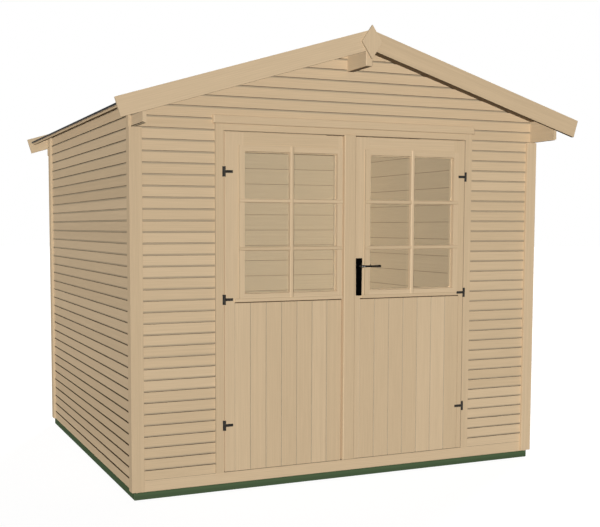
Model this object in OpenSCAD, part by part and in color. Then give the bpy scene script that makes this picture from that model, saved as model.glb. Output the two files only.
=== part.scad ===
// Wooden garden shed with a double door, a low gable roof and a treated base frame.
// Millimetres. X runs across the front, +Y towards the back, Z up from the ground.

/* [House] */
// Width over the outer faces of the side walls
house_w = 2420; // [2200:10:2800]
// Depth over the outer faces of the front and back walls
house_d = 2040; // [1800:10:2600]
// Height from the ground to the top of the side walls
side_wall_top = 1860; // [1800:5:2000]
// Thickness of the wall boards
wall_t = 19; // [14:1:28]
// Thickness of the corner and door trim boards
trim_t = 15; // [10:1:20]
// Width of a corner trim on the front and back faces
corner_trim_w = 65; // [50:1:90]
// Width of a corner trim on the side faces, with the front trim's thickness
corner_trim_side_w = 55; // [40:1:80]
// Gap between the base beams and the corner trims
corner_trim_lift = 6; // [2:1:12]

/* [Base and floor] */
// Height of the base beams
base_h = 38; // [28:1:60]
// Width of the base beams and the depth of the sill and the door jambs
base_beam_w = 45; // [40:1:60]
// Number of floor bearers between the side beams
bearer_count = 3; // [2:1:5]
// Height of the sill under the front wall and the doors
sill_h = 60; // [40:1:80]
// Thickness of the floor boards
floor_t = 18; // [15:1:28]

/* [Roof] */
// Slope of the roof in degrees
roof_pitch = 16.8; // [12:0.1:24]
// Height of the eave planks at the outer wall face
eave_plank_h = 105; // [90:1:130]
// Overhang of the roof boards past the side walls
eave_overhang = 103; // [80:1:140]
// Overhang of the roof boards past the front wall
front_overhang = 202; // [120:1:320]
// Overhang of the roof boards past the back wall
rear_overhang = 124; // [80:1:200]
// Thickness of the roof boards
roof_board_t = 20; // [16:1:28]
// Thickness of the roofing felt
felt_t = 4; // [2:0.5:6]
// Overhang of the felt past the eave edge of the roof boards
felt_drip = 6; // [2:1:12]
// Width of the ridge purlin
ridge_purlin_w = 38; // [30:1:60]
// Height of the ridge purlin at its side faces
ridge_purlin_h = 128; // [100:1:160]
// Width of the barge boards
barge_w = 97; // [80:1:130]
// Thickness of the barge boards
barge_t = 18; // [14:1:24]
// Height of the barge boards above the roof boards
barge_rise = 26; // [12:1:40]
// Reach of the barge boards past the eave edge of the roof boards
barge_reach = 33; // [15:1:60]
// Height of the diamond plate over the barge joint
diamond_h = 172; // [140:1:200]
// Width of the diamond plate
diamond_w = 117; // [90:1:140]
// Thickness of the diamond plate
diamond_t = 12; // [8:1:20]
// Height of the diamond's tip above the barge joint
diamond_rise = 22; // [5:1:40]

/* [Doorway] */
// Clear width of the doorway between the jambs
doorway_w = 1462; // [1300:2:1560]
// Thickness of the door jambs
jamb_t = 20; // [15:1:30]
// Width of the door casings on the wall face
casing_w = 44; // [40:1:70]
// Height of the frame head over the doors
frame_head_h = 34; // [25:1:50]
// Height of the trim board over the frame head
head_trim_h = 42; // [30:1:60]
// Thickness of the trim board over the frame head
head_trim_t = 22; // [18:1:30]
// Overhang of the head trim past the casings
head_trim_over = 12; // [5:1:20]

/* [Doors] */
// Thickness of the door frames
leaf_t = 34; // [32:1:44]
// Gap beside a door leaf at its jamb
leaf_side_gap = 5; // [4:0.5:7]
// Gap over and under a door leaf
leaf_end_gap = 6; // [5:0.5:9]
// Gap between the two door leaves
meeting_gap = 7; // [6:0.5:9]
// Width of the meeting strip on the handle leaf
strip_w = 68; // [50:1:80]
// Thickness of the meeting strip
strip_t = 13; // [10:1:20]
// Distance from the doorway's middle to the middle of the meeting strip, towards the left leaf
strip_offset = 10; // [0:1:13]
// Width of the hinge stile on the left leaf
left_hinge_stile_w = 54; // [50:1:70]
// Width of the lock stile on the right leaf
lock_stile_w = 105; // [95:1:110]
// Width of the hinge stile on the right leaf
right_hinge_stile_w = 27; // [20:1:40]
// Thickness of the door boards
door_board_t = 16; // [12:1:18]
// Height of the door boards above the ground at their top edge
door_board_top = 977; // [900:1:977]
// Height of the groove between the door boards and the weather bar
drip_groove_h = 9; // [4:1:9]
// Height of the bottom rail behind the door boards
bottom_rail_h = 90; // [60:1:120]
// Height of the middle rail behind the door boards
middle_rail_h = 60; // [40:1:90]
// Height of the top rail above the window bead
top_rail_h = 66; // [50:1:120]

/* [Windows] */
// Width of the light opening of a door window
window_w = 535; // [440:1:540]
// Height of the light opening of a door window
window_h = 730; // [600:1:740]
// Height of the light opening above the ground
window_z = 1028; // [1025:1:1040]
// Distance from the doorway's middle to the left window's near edge
left_window_inset = 84; // [82:1:90]
// Distance from the doorway's middle to the right window's near edge
right_window_inset = 116; // [114:1:120]
// Step of the glass rebate around the light opening
rebate = 5; // [3:1:8]
// Thickness of the glass
glass_t = 4; // [3:0.5:6]
// Width of the bead around the light opening
bead_w = 30; // [20:1:32]
// Height of the bead above the door face
bead_t = 8; // [5:1:12]
// Height of the weather bar under a window
weather_bar_h = 17; // [10:1:17]
// Thickness of the weather bar
weather_bar_t = 8; // [6:1:20]

/* [Door hardware] */
// Height of the lowest hinge above the ground
hinge_first_z = 347; // [300:1:400]
// Spacing of the hinges
hinge_step = 653; // [560:1:680]
// Height of a hinge plate
hinge_h = 52; // [46:1:70]
// Height of a hinge strap
strap_h = 14; // [10:1:16]
// Reach of a hinge strap past the hinge pin
strap_reach = 46; // [40:1:50]
// Reach of a hinge plate past the hinge pin
hinge_plate_reach = 16; // [12:1:30]
// Thickness of the hinge sheet metal
hinge_t = 3; // [2:0.5:4]
// Diameter of the hinge knuckles
knuckle_d = 10; // [9:0.5:10.5]
// Diameter of the hinge pins
hinge_pin_d = 5; // [4:0.5:6]
// Height of the handle spindle above the ground
spindle_z = 1160; // [1120:1:1180]
// Width of a handle plate
handle_plate_w = 38; // [30:1:38]
// Height of a handle plate
handle_plate_h = 203; // [160:1:220]
// Thickness of a handle plate
handle_plate_t = 6; // [4:0.5:10]
// Distance from the spindle to the top of the handle plates
spindle_to_plate_top = 43; // [30:1:60]
// Diameter of the handle spindle
spindle_d = 16; // [12:1:20]
// Length of the lever from the spindle
lever_l = 115; // [90:1:130]
// Height of the lever bar
lever_h = 14; // [10:1:18]
// Depth of the lever bar
lever_t = 15; // [10:1:18]
// Distance from the door face to the lever's outer side
lever_reach = 47; // [38:1:60]

/* [Clearances] */
// Clearance between the roof boards and the pieces that carry them
roof_seat = 0.3; // [0.1:0.1:0.8]
// Radial clearance of the hinge pins and the handle spindle
pin_clear = 0.05; // [0.02:0.01:0.1]
// Clearance between turning and fixed hinge knuckles
knuckle_clear = 0.5; // [0.3:0.1:1]
// Clearance around the spindle in the lock stile
spindle_hole_clear = 1; // [0.5:0.1:3]
// Gap between a weather bar and the hinge strap or handle plate beside it
weather_bar_gap = 3; // [1:0.5:8]
// Gap between the meeting strip and the handle plate
handle_plate_gap = 8; // [0.5:0.5:10]

/* [Hidden] */
$fn = 48;
cut = 1;
least_step = 0.01;
half_w = house_w / 2;
inner_half_w = half_w - wall_t;
total_d = diamond_t + barge_t + front_overhang + house_d + rear_overhang + barge_t + diamond_t;
front_y = diamond_t + barge_t + front_overhang - total_d / 2;
back_y = front_y + house_d;
roof_front_y = front_y - front_overhang;
roof_back_y = back_y + rear_overhang;

sill_top = base_h + sill_h;
floor_front_y = front_y + base_beam_w;
bearer_step = (house_w - base_beam_w) / (bearer_count + 1);

ridge_under_z = side_wall_top + eave_plank_h + half_w * tan(roof_pitch);
roof_edge_x = half_w + eave_overhang;
barge_top = roof_board_t + barge_rise;
barge_end_x = roof_edge_x + barge_reach;
barge_apex_z = ridge_under_z + barge_top / cos(roof_pitch);
diamond_z = barge_apex_z + diamond_rise - diamond_h / 2;
ridge_purlin_bottom = roof_under(ridge_purlin_w / 2) - ridge_purlin_h;

half_door = doorway_w / 2;
window_top = window_z + window_h;
leaf_top = window_top + bead_w + top_rail_h;
doorway_top = leaf_top + leaf_end_gap;
frame_head_top = doorway_top + frame_head_h;
leaf_face = front_y - trim_t;
leaf_back = leaf_face + leaf_t;
leaf_bottom = sill_top + leaf_end_gap;
strip_left = -strip_offset - strip_w / 2;
left_leaf = [-half_door + leaf_side_gap, strip_left - meeting_gap];
right_leaf = [strip_left, half_door - leaf_side_gap];
left_window = [-left_window_inset - window_w, -left_window_inset];
right_window = [right_window_inset, right_window_inset + window_w];
left_boards = [left_leaf[0] + left_hinge_stile_w, left_leaf[1]];
right_boards = [right_leaf[0] + lock_stile_w, right_leaf[1] - right_hinge_stile_w];
recess_top = door_board_top + drip_groove_h;
glass_y = leaf_face + leaf_t / 2 - glass_t;

hinge_x = half_door - leaf_side_gap / 2;
hinge_y = leaf_face - knuckle_d / 2 - knuckle_clear;
hinge_zs = [for (i = [0 : 2]) hinge_first_z + i * hinge_step];
turning_knuckle_h = hinge_h / 3;

spindle_x = strip_left + strip_w + handle_plate_gap + handle_plate_w / 2;
handle_plate_bottom = spindle_z + spindle_to_plate_top - handle_plate_h;
beside_straps = hinge_x - strap_reach - weather_bar_gap;
beside_plate = spindle_x + handle_plate_w / 2 + weather_bar_gap;

wood = [0.80, 0.71, 0.57];
trim_wood = [0.83, 0.75, 0.61];
treated_wood = [0.30, 0.37, 0.26];
felt_grey = [0.20, 0.20, 0.21];
black_iron = [0.08, 0.08, 0.09];
clear_glass = [0.75, 0.85, 0.88, 0.35];

// Height of the roof boards' underside at a distance x from the ridge
function roof_under(x) = ridge_under_z - abs(x) * tan(roof_pitch);

// Height of a piece that carries the roof boards at a distance x from the ridge
function seat_z(x) = roof_under(x) - roof_seat;

// Outline of a layer of the right slope, from low to high above the underside, square-cut at its end
function slope_outline(low, high, end_x) = [
    [0, ridge_under_z + low / cos(roof_pitch)],
    let (x = end_x - (high - low) * sin(roof_pitch)) [x, roof_under(x) + low / cos(roof_pitch)],
    [end_x, roof_under(end_x) + high / cos(roof_pitch)],
    [0, ridge_under_z + high / cos(roof_pitch)]];

// A box between two corners
module block(low, high) {
    translate(low) cube(high - low);
}

// Extrudes an outline drawn in X and Z from one depth to another
module along_y(y0, y1) {
    translate([0, y1, 0]) rotate([90, 0, 0]) linear_extrude(y1 - y0) children();
}

// A round bar along Y
module round_y(x, z, y0, y1, d) {
    translate([x, y0, z]) rotate([-90, 0, 0]) cylinder(h = y1 - y0, d = d);
}

// A piece and its mirror image on the other side of the ridge
module both_sides() {
    children();
    mirror([1, 0, 0]) children();
}

module base_cross_beams() {
    color(treated_wood)
        for (y = [front_y, back_y - base_beam_w])
            block([-half_w, y, 0], [half_w, y + base_beam_w, base_h]);
}

module base_side_beams() {
    color(treated_wood) both_sides()
        block([half_w - base_beam_w, floor_front_y, 0], [half_w, back_y - base_beam_w, base_h]);
}

module floor_bearers() {
    color(treated_wood)
        for (i = [1 : bearer_count])
            translate([i * bearer_step - half_w, 0, 0])
                block([0, floor_front_y, 0], [base_beam_w, back_y - base_beam_w, base_h]);
}

module floor() {
    color(wood)
        block([-inner_half_w, floor_front_y, base_h], [inner_half_w, back_y - wall_t, base_h + floor_t]);
}

module front_sill() {
    color(wood)
        block([-inner_half_w, front_y, base_h], [inner_half_w, floor_front_y, sill_top]);
}

// Front wall beside the doorway
module front_wall_side() {
    block([half_door + jamb_t, front_y, sill_top], [inner_half_w, front_y + wall_t, side_wall_top]);
}

module front_wall_left() {
    color(wood) mirror([1, 0, 0]) front_wall_side();
}

module front_wall_right() {
    color(wood) front_wall_side();
}

// Gable between the eave planks, notched for the ridge purlin
module gable(y0) {
    notch_x = ridge_purlin_w / 2;
    right_edge = [[inner_half_w, side_wall_top], [inner_half_w, seat_z(inner_half_w)],
        [notch_x, seat_z(notch_x)], [notch_x, ridge_purlin_bottom]];
    left_edge = [for (i = [3 : -1 : 0]) [-right_edge[i][0], right_edge[i][1]]];
    along_y(y0, y0 + wall_t) polygon(concat(right_edge, left_edge));
}

// Front gable, let down or notched where the doorway ends below or above the side walls
module front_gable() {
    post_x = half_door + jamb_t;
    color(wood) difference() {
        union() {
            gable(front_y);
            if (side_wall_top - doorway_top > least_step)
                block([-post_x, front_y, doorway_top], [post_x, front_y + wall_t, side_wall_top]);
        }
        if (doorway_top - side_wall_top > least_step)
            block([-post_x, front_y - cut, side_wall_top - cut], [post_x, front_y + wall_t + cut, doorway_top]);
    }
}

module back_gable() {
    color(wood) gable(back_y - wall_t);
}

module side_wall() {
    block([inner_half_w, front_y, base_h], [half_w, back_y, side_wall_top]);
}

module left_wall() {
    color(wood) mirror([1, 0, 0]) side_wall();
}

module right_wall() {
    color(wood) side_wall();
}

module back_wall() {
    color(wood)
        block([-inner_half_w, back_y - wall_t, base_h], [inner_half_w, back_y, side_wall_top]);
}

// Corner trim of two boards: one on the end wall, one up the side wall to the roof boards
module corner_trim(end_y, out) {
    outer_x = half_w + trim_t;
    bottom = base_h + corner_trim_lift;
    face_y = end_y + out * trim_t;
    side_y = face_y - out * corner_trim_side_w;
    block([outer_x - corner_trim_w, min(end_y, face_y), bottom], [outer_x, max(end_y, face_y), side_wall_top]);
    along_y(min(side_y, end_y), max(side_y, end_y))
        polygon([[half_w, bottom], [outer_x, bottom], [outer_x, seat_z(outer_x)], [half_w, seat_z(half_w)]]);
}

module front_corner_trims() {
    color(trim_wood) both_sides() corner_trim(front_y, -1);
}

module back_corner_trims() {
    color(trim_wood) both_sides() corner_trim(back_y, 1);
}

// Door post: a jamb in the wall and a casing over its joint
module door_jambs() {
    color(trim_wood) both_sides() {
        block([half_door, leaf_face, sill_top], [half_door + casing_w, front_y, frame_head_top]);
        block([half_door, front_y, sill_top], [half_door + jamb_t, floor_front_y, doorway_top]);
    }
}

module door_frame_head() {
    color(trim_wood)
        block([-half_door, leaf_face, doorway_top], [half_door, front_y, frame_head_top]);
}

module door_head_trim() {
    reach = half_door + casing_w + head_trim_over;
    color(trim_wood)
        block([-reach, front_y - head_trim_t, frame_head_top], [reach, front_y, frame_head_top + head_trim_h]);
}

module ridge_purlin() {
    side_x = ridge_purlin_w / 2;
    color(wood) along_y(roof_front_y, roof_back_y)
        polygon([[-side_x, ridge_purlin_bottom], [side_x, ridge_purlin_bottom], [side_x, seat_z(side_x)],
            [0, seat_z(0)], [-side_x, seat_z(side_x)]]);
}

// Top board of a side wall, running on to carry both roof overhangs
module eave_plank() {
    along_y(roof_front_y, roof_back_y)
        polygon([[inner_half_w, side_wall_top], [half_w, side_wall_top], [half_w, seat_z(half_w)],
            [inner_half_w, seat_z(inner_half_w)]]);
}

module left_eave_plank() {
    color(wood) mirror([1, 0, 0]) eave_plank();
}

module right_eave_plank() {
    color(wood) eave_plank();
}

module roof_slope_boards() {
    along_y(roof_front_y, roof_back_y) polygon(slope_outline(0, roof_board_t, roof_edge_x));
}

module left_roof_boards() {
    color(wood) mirror([1, 0, 0]) roof_slope_boards();
}

module right_roof_boards() {
    color(wood) roof_slope_boards();
}

module roof_slope_felt() {
    along_y(roof_front_y, roof_back_y)
        polygon(slope_outline(roof_board_t, roof_board_t + felt_t, roof_edge_x + felt_drip));
}

module left_roof_felt() {
    color(felt_grey) mirror([1, 0, 0]) roof_slope_felt();
}

module right_roof_felt() {
    color(felt_grey) roof_slope_felt();
}

// Barge board of the right slope
module barge(y0) {
    along_y(y0, y0 + barge_t) polygon(slope_outline(barge_top - barge_w, barge_top, barge_end_x));
}

module front_left_barge() {
    color(trim_wood) mirror([1, 0, 0]) barge(roof_front_y - barge_t);
}

module front_right_barge() {
    color(trim_wood) barge(roof_front_y - barge_t);
}

module back_left_barge() {
    color(trim_wood) mirror([1, 0, 0]) barge(roof_back_y);
}

module back_right_barge() {
    color(trim_wood) barge(roof_back_y);
}

// Diamond plate over the joint of two barge boards
module diamond(y0) {
    along_y(y0, y0 + diamond_t)
        translate([0, diamond_z])
            polygon([[diamond_w / 2, 0], [0, diamond_h / 2], [-diamond_w / 2, 0], [0, -diamond_h / 2]]);
}

module front_gable_diamond() {
    color(trim_wood) diamond(roof_front_y - barge_t - diamond_t);
}

module back_gable_diamond() {
    color(trim_wood) diamond(roof_back_y + barge_t);
}

// Hinge plate on the right casing, with its two fixed knuckles and the pin
module hinge_plate(z) {
    fixed_h = (hinge_h - turning_knuckle_h) / 2;
    difference() {
        union() {
            block([half_door, leaf_face - hinge_t, z - hinge_h / 2],
                [hinge_x + hinge_plate_reach, leaf_face, z + hinge_h / 2]);
            for (side = [-1, 1])
                translate([hinge_x, hinge_y, z + side * (hinge_h - fixed_h) / 2])
                    cylinder(h = fixed_h, d = knuckle_d, center = true);
        }
        translate([hinge_x, hinge_y, z])
            cylinder(h = turning_knuckle_h, d = knuckle_d + 2 * knuckle_clear, center = true);
    }
    translate([hinge_x, hinge_y, z]) cylinder(h = hinge_h, d = hinge_pin_d, center = true);
}

module hinge_plates() {
    color(black_iron) both_sides()
        for (z = hinge_zs)
            hinge_plate(z);
}

// Hinge strap on the right leaf, with the knuckle that turns on the pin
module hinge_strap(z) {
    difference() {
        union() {
            block([hinge_x - strap_reach, leaf_face - hinge_t, z - strap_h / 2],
                [half_door - leaf_side_gap, leaf_face, z + strap_h / 2]);
            translate([hinge_x, hinge_y, z])
                cylinder(h = turning_knuckle_h - 2 * knuckle_clear, d = knuckle_d, center = true);
        }
        translate([hinge_x, hinge_y, z])
            cylinder(h = hinge_h, d = hinge_pin_d + 2 * pin_clear, center = true);
    }
}

module left_hinge_straps() {
    color(black_iron) mirror([1, 0, 0])
        for (z = hinge_zs)
            hinge_strap(z);
}

module right_hinge_straps() {
    color(black_iron)
        for (z = hinge_zs)
            hinge_strap(z);
}

// Door frame: stiles and rails, recessed for the boards and rebated for the glass
module door_frame(leaf, boards, window) {
    difference() {
        block([leaf[0], leaf_face, leaf_bottom], [leaf[1], leaf_back, leaf_top]);
        block([boards[0], leaf_face - cut, leaf_bottom - cut],
            [boards[1] + (boards[1] == leaf[1] ? cut : 0), leaf_face + door_board_t, recess_top]);
        block([window[0], leaf_face, leaf_bottom + bottom_rail_h],
            [window[1], leaf_back + cut, door_board_top - middle_rail_h]);
        block([window[0] - rebate, leaf_face - cut, window_z - rebate],
            [window[1] + rebate, glass_y + glass_t, window_top + rebate]);
        block([window[0] + rebate, leaf_face - cut, window_z + rebate],
            [window[1] - rebate, leaf_back + cut, window_top - rebate]);
    }
}

module left_door_frame() {
    color(trim_wood) door_frame(left_leaf, left_boards, left_window);
}

module right_door_frame() {
    hole_d = spindle_d + 2 * spindle_hole_clear;
    color(trim_wood) difference() {
        door_frame(right_leaf, right_boards, right_window);
        round_y(spindle_x, spindle_z, leaf_face - cut, leaf_back + cut, hole_d);
    }
}

module door_boards(boards) {
    block([boards[0], leaf_face, leaf_bottom], [boards[1], leaf_face + door_board_t, door_board_top]);
}

module left_door_boards() {
    color(wood) door_boards(left_boards);
}

module right_door_boards() {
    color(wood) door_boards(right_boards);
}

// Bead around the glass: a flat ring on the door face and a lip down to the glass
module window_bead(window) {
    difference() {
        union() {
            block([window[0] - bead_w, leaf_face - bead_t, window_z - bead_w + rebate],
                [window[1] + bead_w, leaf_face, window_top + bead_w]);
            block([window[0] - rebate, leaf_face - cut, window_z - rebate],
                [window[1] + rebate, glass_y, window_top + rebate]);
        }
        block([window[0], leaf_face - bead_t - cut, window_z], [window[1], glass_y + cut, window_top]);
    }
}

module left_window_bead() {
    color(trim_wood) window_bead(left_window);
}

module right_window_bead() {
    color(trim_wood) window_bead(right_window);
}

module window_glass(window) {
    block([window[0] - rebate, glass_y, window_z - rebate],
        [window[1] + rebate, glass_y + glass_t, window_top + rebate]);
}

module left_window_glass() {
    color(clear_glass) window_glass(left_window);
}

module right_window_glass() {
    color(clear_glass) window_glass(right_window);
}

// Weather bar over the groove above the door boards, ending short of the ironwork
module weather_bar(from_x, to_x) {
    block([from_x, leaf_face - weather_bar_t, recess_top], [to_x, leaf_face, recess_top + weather_bar_h]);
}

module left_weather_bar() {
    color(trim_wood) weather_bar(max(left_boards[0], -beside_straps), left_boards[1]);
}

module right_weather_bar() {
    color(trim_wood) weather_bar(max(right_boards[0], beside_plate), min(right_boards[1], beside_straps));
}

module meeting_strip() {
    color(trim_wood)
        block([strip_left, leaf_face - strip_t, leaf_bottom], [strip_left + strip_w, leaf_face, leaf_top]);
}

module handle_plates() {
    plate_x = spindle_x - handle_plate_w / 2;
    color(black_iron) difference() {
        for (y = [leaf_face - handle_plate_t, leaf_back])
            block([plate_x, y, handle_plate_bottom],
                [plate_x + handle_plate_w, y + handle_plate_t, handle_plate_bottom + handle_plate_h]);
        round_y(spindle_x, spindle_z, leaf_face - lever_reach, leaf_back + lever_reach, spindle_d + 2 * pin_clear);
    }
}

// Lever bar with a round tip, reaching from the spindle over the door
module lever_bar(y0) {
    block([spindle_x, y0, spindle_z - lever_h / 2],
        [spindle_x + lever_l - lever_h / 2, y0 + lever_t, spindle_z + lever_h / 2]);
    round_y(spindle_x + lever_l - lever_h / 2, spindle_z, y0, y0 + lever_t, lever_h);
}

module handle_lever() {
    color(black_iron) {
        round_y(spindle_x, spindle_z, leaf_face - lever_reach, leaf_back + lever_reach, spindle_d);
        lever_bar(leaf_face - lever_reach);
        lever_bar(leaf_back + lever_reach - lever_t);
    }
}

base_cross_beams();
base_side_beams();
floor_bearers();
floor();
front_sill();
front_wall_left();
front_wall_right();
front_gable();
left_wall();
right_wall();
back_wall();
back_gable();
front_corner_trims();
back_corner_trims();
door_jambs();
door_frame_head();
door_head_trim();
ridge_purlin();
left_eave_plank();
right_eave_plank();
left_roof_boards();
right_roof_boards();
left_roof_felt();
right_roof_felt();
front_left_barge();
front_right_barge();
back_left_barge();
back_right_barge();
front_gable_diamond();
back_gable_diamond();
hinge_plates();
left_door_frame();
left_door_boards();
left_window_bead();
left_window_glass();
left_weather_bar();
left_hinge_straps();
right_door_frame();
right_door_boards();
right_window_bead();
right_window_glass();
right_weather_bar();
right_hinge_straps();
meeting_strip();
handle_plates();
handle_lever();
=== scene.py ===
# %% [markdown]
# # A wooden garden shed, dressed board by board
# The solids of the shed give every place and size. This lesson lays real boards, felt, glass and ironwork
# over them, so that each piece has its own edges, grain and finish. First the solids are loaded.

# %% Load the solids
import math
import random

import bmesh
import bpy
from mathutils import Matrix, Vector


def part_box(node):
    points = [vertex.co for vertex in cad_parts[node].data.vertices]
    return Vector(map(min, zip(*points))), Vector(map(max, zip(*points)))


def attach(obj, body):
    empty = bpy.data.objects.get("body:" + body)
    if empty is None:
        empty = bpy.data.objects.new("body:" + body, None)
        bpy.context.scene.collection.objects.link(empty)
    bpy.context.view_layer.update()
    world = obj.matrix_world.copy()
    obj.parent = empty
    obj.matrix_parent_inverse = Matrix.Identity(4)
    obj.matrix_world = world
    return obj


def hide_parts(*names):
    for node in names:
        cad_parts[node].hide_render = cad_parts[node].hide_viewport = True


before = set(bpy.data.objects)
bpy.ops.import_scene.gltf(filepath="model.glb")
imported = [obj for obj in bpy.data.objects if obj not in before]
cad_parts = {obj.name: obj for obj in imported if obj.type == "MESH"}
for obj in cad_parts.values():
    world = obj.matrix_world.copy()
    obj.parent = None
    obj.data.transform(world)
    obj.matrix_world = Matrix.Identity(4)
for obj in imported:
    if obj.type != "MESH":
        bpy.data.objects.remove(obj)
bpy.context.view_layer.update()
scene = bpy.context.scene
MM = 0.001
SIDES = ("left", "right")
ENDS = ("front", "back")

# %% [markdown]
# ## The camera
# The picture was taken from the front left, a little above the door handle and tilted slightly down. The
# place and the lens were worked out from the rows of boards on two walls. The view is not centred on the
# lens axis, so the camera has a small shift. The colours are shown without a film look, so white stays
# white.

# %% Camera
IMAGE_W, IMAGE_H = 600, 527
SENSOR_W = 36
FOCAL_PX = 951.07
LENS_AXIS_PX = (248.29, 296.36)
CAMERA_PLACE = (-2.4748, -5.5307, 1.3755)
CAMERA_YAW, CAMERA_PITCH = 22.495, 4.215

view = bpy.data.cameras.new("view")
view.sensor_width = SENSOR_W
view.sensor_fit = "HORIZONTAL"
view.lens = FOCAL_PX * SENSOR_W / IMAGE_W
view.shift_x = (IMAGE_W / 2 - LENS_AXIS_PX[0]) / IMAGE_W
view.shift_y = (LENS_AXIS_PX[1] - IMAGE_H / 2) / IMAGE_W
camera = bpy.data.objects.new("camera", view)
camera.location = CAMERA_PLACE
camera.rotation_euler = (math.radians(90 - CAMERA_PITCH), 0, math.radians(-CAMERA_YAW))
scene.collection.objects.link(camera)
scene.camera = camera
scene.view_settings.view_transform = "Standard"
print("lens:", round(view.lens, 2), "mm")

# %% [markdown]
# ## Nodes in short calls
# Every finish below is a handful of nodes: a pattern, a ramp that turns it into colours, a span that turns
# it into roughness, and a bump. Wired by hand, each takes many lines. A small class adds a node, sets or
# links its inputs in one call, and gives back the output that is wanted.

# %% Node helpers
class Nodes:
    """Short calls for wiring the nodes of a material or a world."""

    def __init__(self, owner):
        owner.use_nodes = True
        self.owner = owner
        self.tree = owner.node_tree

    def feed(self, node, inputs):
        for key, value in inputs.items():
            if isinstance(value, bpy.types.NodeSocket):
                self.tree.links.new(value, node.inputs[key])
            else:
                node.inputs[key].default_value = value

    def add(self, kind, output, inputs=None, **settings):
        node = self.tree.nodes.new("ShaderNode" + kind)
        for key, value in settings.items():
            setattr(node, key, value)
        self.feed(node, inputs or {})
        return node.outputs[output]

    def finish(self, inputs, shader="Principled BSDF"):
        self.feed(self.tree.nodes[shader], inputs)
        return self.owner

    def mapped(self, vector, scale):
        return self.add("Mapping", "Vector", {"Vector": vector, "Scale": scale})

    def noise(self, vector, scale, detail):
        return self.add("TexNoise", "Fac", {"Vector": vector, "Scale": scale, "Detail": detail,
            "Roughness": 0.55})

    def ramp(self, factor, stops):
        ramp = self.add("ValToRGB", "Color", {"Fac": factor})
        elements = ramp.node.color_ramp.elements
        while len(elements) < len(stops):
            elements.new(0.5)
        for element, (place, value) in zip(elements, stops):
            element.position = place
            element.color = value
        return ramp

    def spread(self, value, low, high):
        return self.add("MapRange", "Result", {"Value": value, "To Min": low, "To Max": high})

    def mix(self, factor, first, second, blend="MIX"):
        return self.add("Mix", 2, {0: factor, 6: first, 7: second}, data_type="RGBA", blend_type=blend)

    def bump(self, height, strength, distance):
        return self.add("Bump", "Normal", {"Height": height, "Strength": strength, "Distance": distance})


print("node calls:", [name for name in vars(Nodes) if not name.startswith("_")])

# %% [markdown]
# ## Floor and light
# A pale floor runs on until it is lost in a white surround. Both look brighter than the light that they
# throw, so that the floor stays pale up to the horizon while the undersides of the roof stay dark. The key
# sun stands for a wall of soft boxes at the front left, almost level. Such a wall leaves no shadow edges,
# so this sun throws no shadow: the gable under the overhang stays clear, the room shows through the panes,
# and the grooves read as dark lines because their lips and ledges face away from the level light. The
# second sun is higher, does throw shadows, and keeps the roof, the back and the right wall readable.

# %% Floor and surround
FLOOR_RADIUS = 60
FLOOR_GREY = 0.12
FLOOR_SEEN, FLOOR_CAST = 0.95, 0.0
SURROUND_SEEN, SURROUND_CAST = 1.0, 0.12


def grey(value):
    return (value, value, value, 1)


def seen_and_cast(nodes, seen, cast):
    """One strength for what is looked at, also through glass, and another for light on the shed."""
    ray = nodes.add("LightPath", "Is Camera Ray").node.outputs
    through_glass = nodes.add("Math", "Value", {0: ray["Is Transmission Ray"], 1: ray["Glossy Depth"]},
        operation="SUBTRACT")
    looked_at = nodes.add("Math", "Value", {0: ray["Is Camera Ray"], 1: through_glass}, operation="MAXIMUM")
    return nodes.spread(looked_at, cast, seen)


floor_mesh = bpy.data.meshes.new("studio_floor")
bm = bmesh.new()
bmesh.ops.create_circle(bm, cap_ends=True, segments=96, radius=FLOOR_RADIUS)
bm.to_mesh(floor_mesh)
bm.free()
studio_floor = bpy.data.objects.new("studio_floor", floor_mesh)
scene.collection.objects.link(studio_floor)

pale = Nodes(bpy.data.materials.new("pale_floor"))
floor_mesh.materials.append(pale.finish({"Base Color": grey(FLOOR_GREY), "Roughness": 0.9,
    "Emission Color": grey(1), "Emission Strength": seen_and_cast(pale, FLOOR_SEEN, FLOOR_CAST)}))

white = Nodes(bpy.data.worlds.new("white_surround"))
white_strength = seen_and_cast(white, SURROUND_SEEN, SURROUND_CAST)
scene.world = white.finish({"Color": grey(1), "Strength": white_strength}, "Background")
print("floor radius:", FLOOR_RADIUS, "m")

# %% Suns
SUNS = {
    "key_sun": ((-0.60, -0.80, 0.065), 3.65, 0),
    "back_sun": ((0.8, 0.9, 0.7), 3.6, 30),
}

for name, (towards_sun, strength, softness) in SUNS.items():
    sun = bpy.data.lights.new(name, "SUN")
    sun.energy = strength
    sun.angle = math.radians(softness)
    sun.use_shadow = softness > 0
    lamp = bpy.data.objects.new(name, sun)
    lamp.rotation_euler = Vector(towards_sun).to_track_quat("Z", "Y").to_euler()
    scene.collection.objects.link(lamp)

print("suns:", list(SUNS))

# %% [markdown]
# ## Timber
# Almost everything on the shed is planed spruce: pale, straight and faintly striped along each board. Grain
# has to run along its own board, whichever way the board lies, so every board carries a small coordinate
# system of its own in an attribute called grain (along, across, through), and a value called tone that
# makes it a touch lighter or darker than its neighbours. Tones from a half to one are planed faces. Lower
# tones are painted shade: mild on inner and back faces, stronger in grooves, on outer sides and edges, and
# zero is a deep painted shade on ledges, lips and undersides. One material then fits boards in any
# direction: rings around a pith line far outside the board give the stripes, and stretched noise gives the
# fibres.

# %% Timber material
RING_SCALE = 34
RING_STRETCH = (0.10, 1, 1)
FIBRE_STRETCH = (5, 260, 260)
CLOUD_STRETCH = (1.5, 9, 9)
FIBRE_SHADES = [(0.3, grey(0.94)), (0.7, grey(1.04))]
# Below a half the tone paints shade: a cool mild painted shade at a quarter, a deep painted shade at zero.
TONE_AND_SHADE_COLOURS = [(0.0, (0.25, 0.22, 0.18, 1)), (0.25, (0.79, 0.84, 0.885, 1)), (0.5, (0.95, 0.94, 0.92, 1)),
    (1.0, grey(1.03))]


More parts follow.
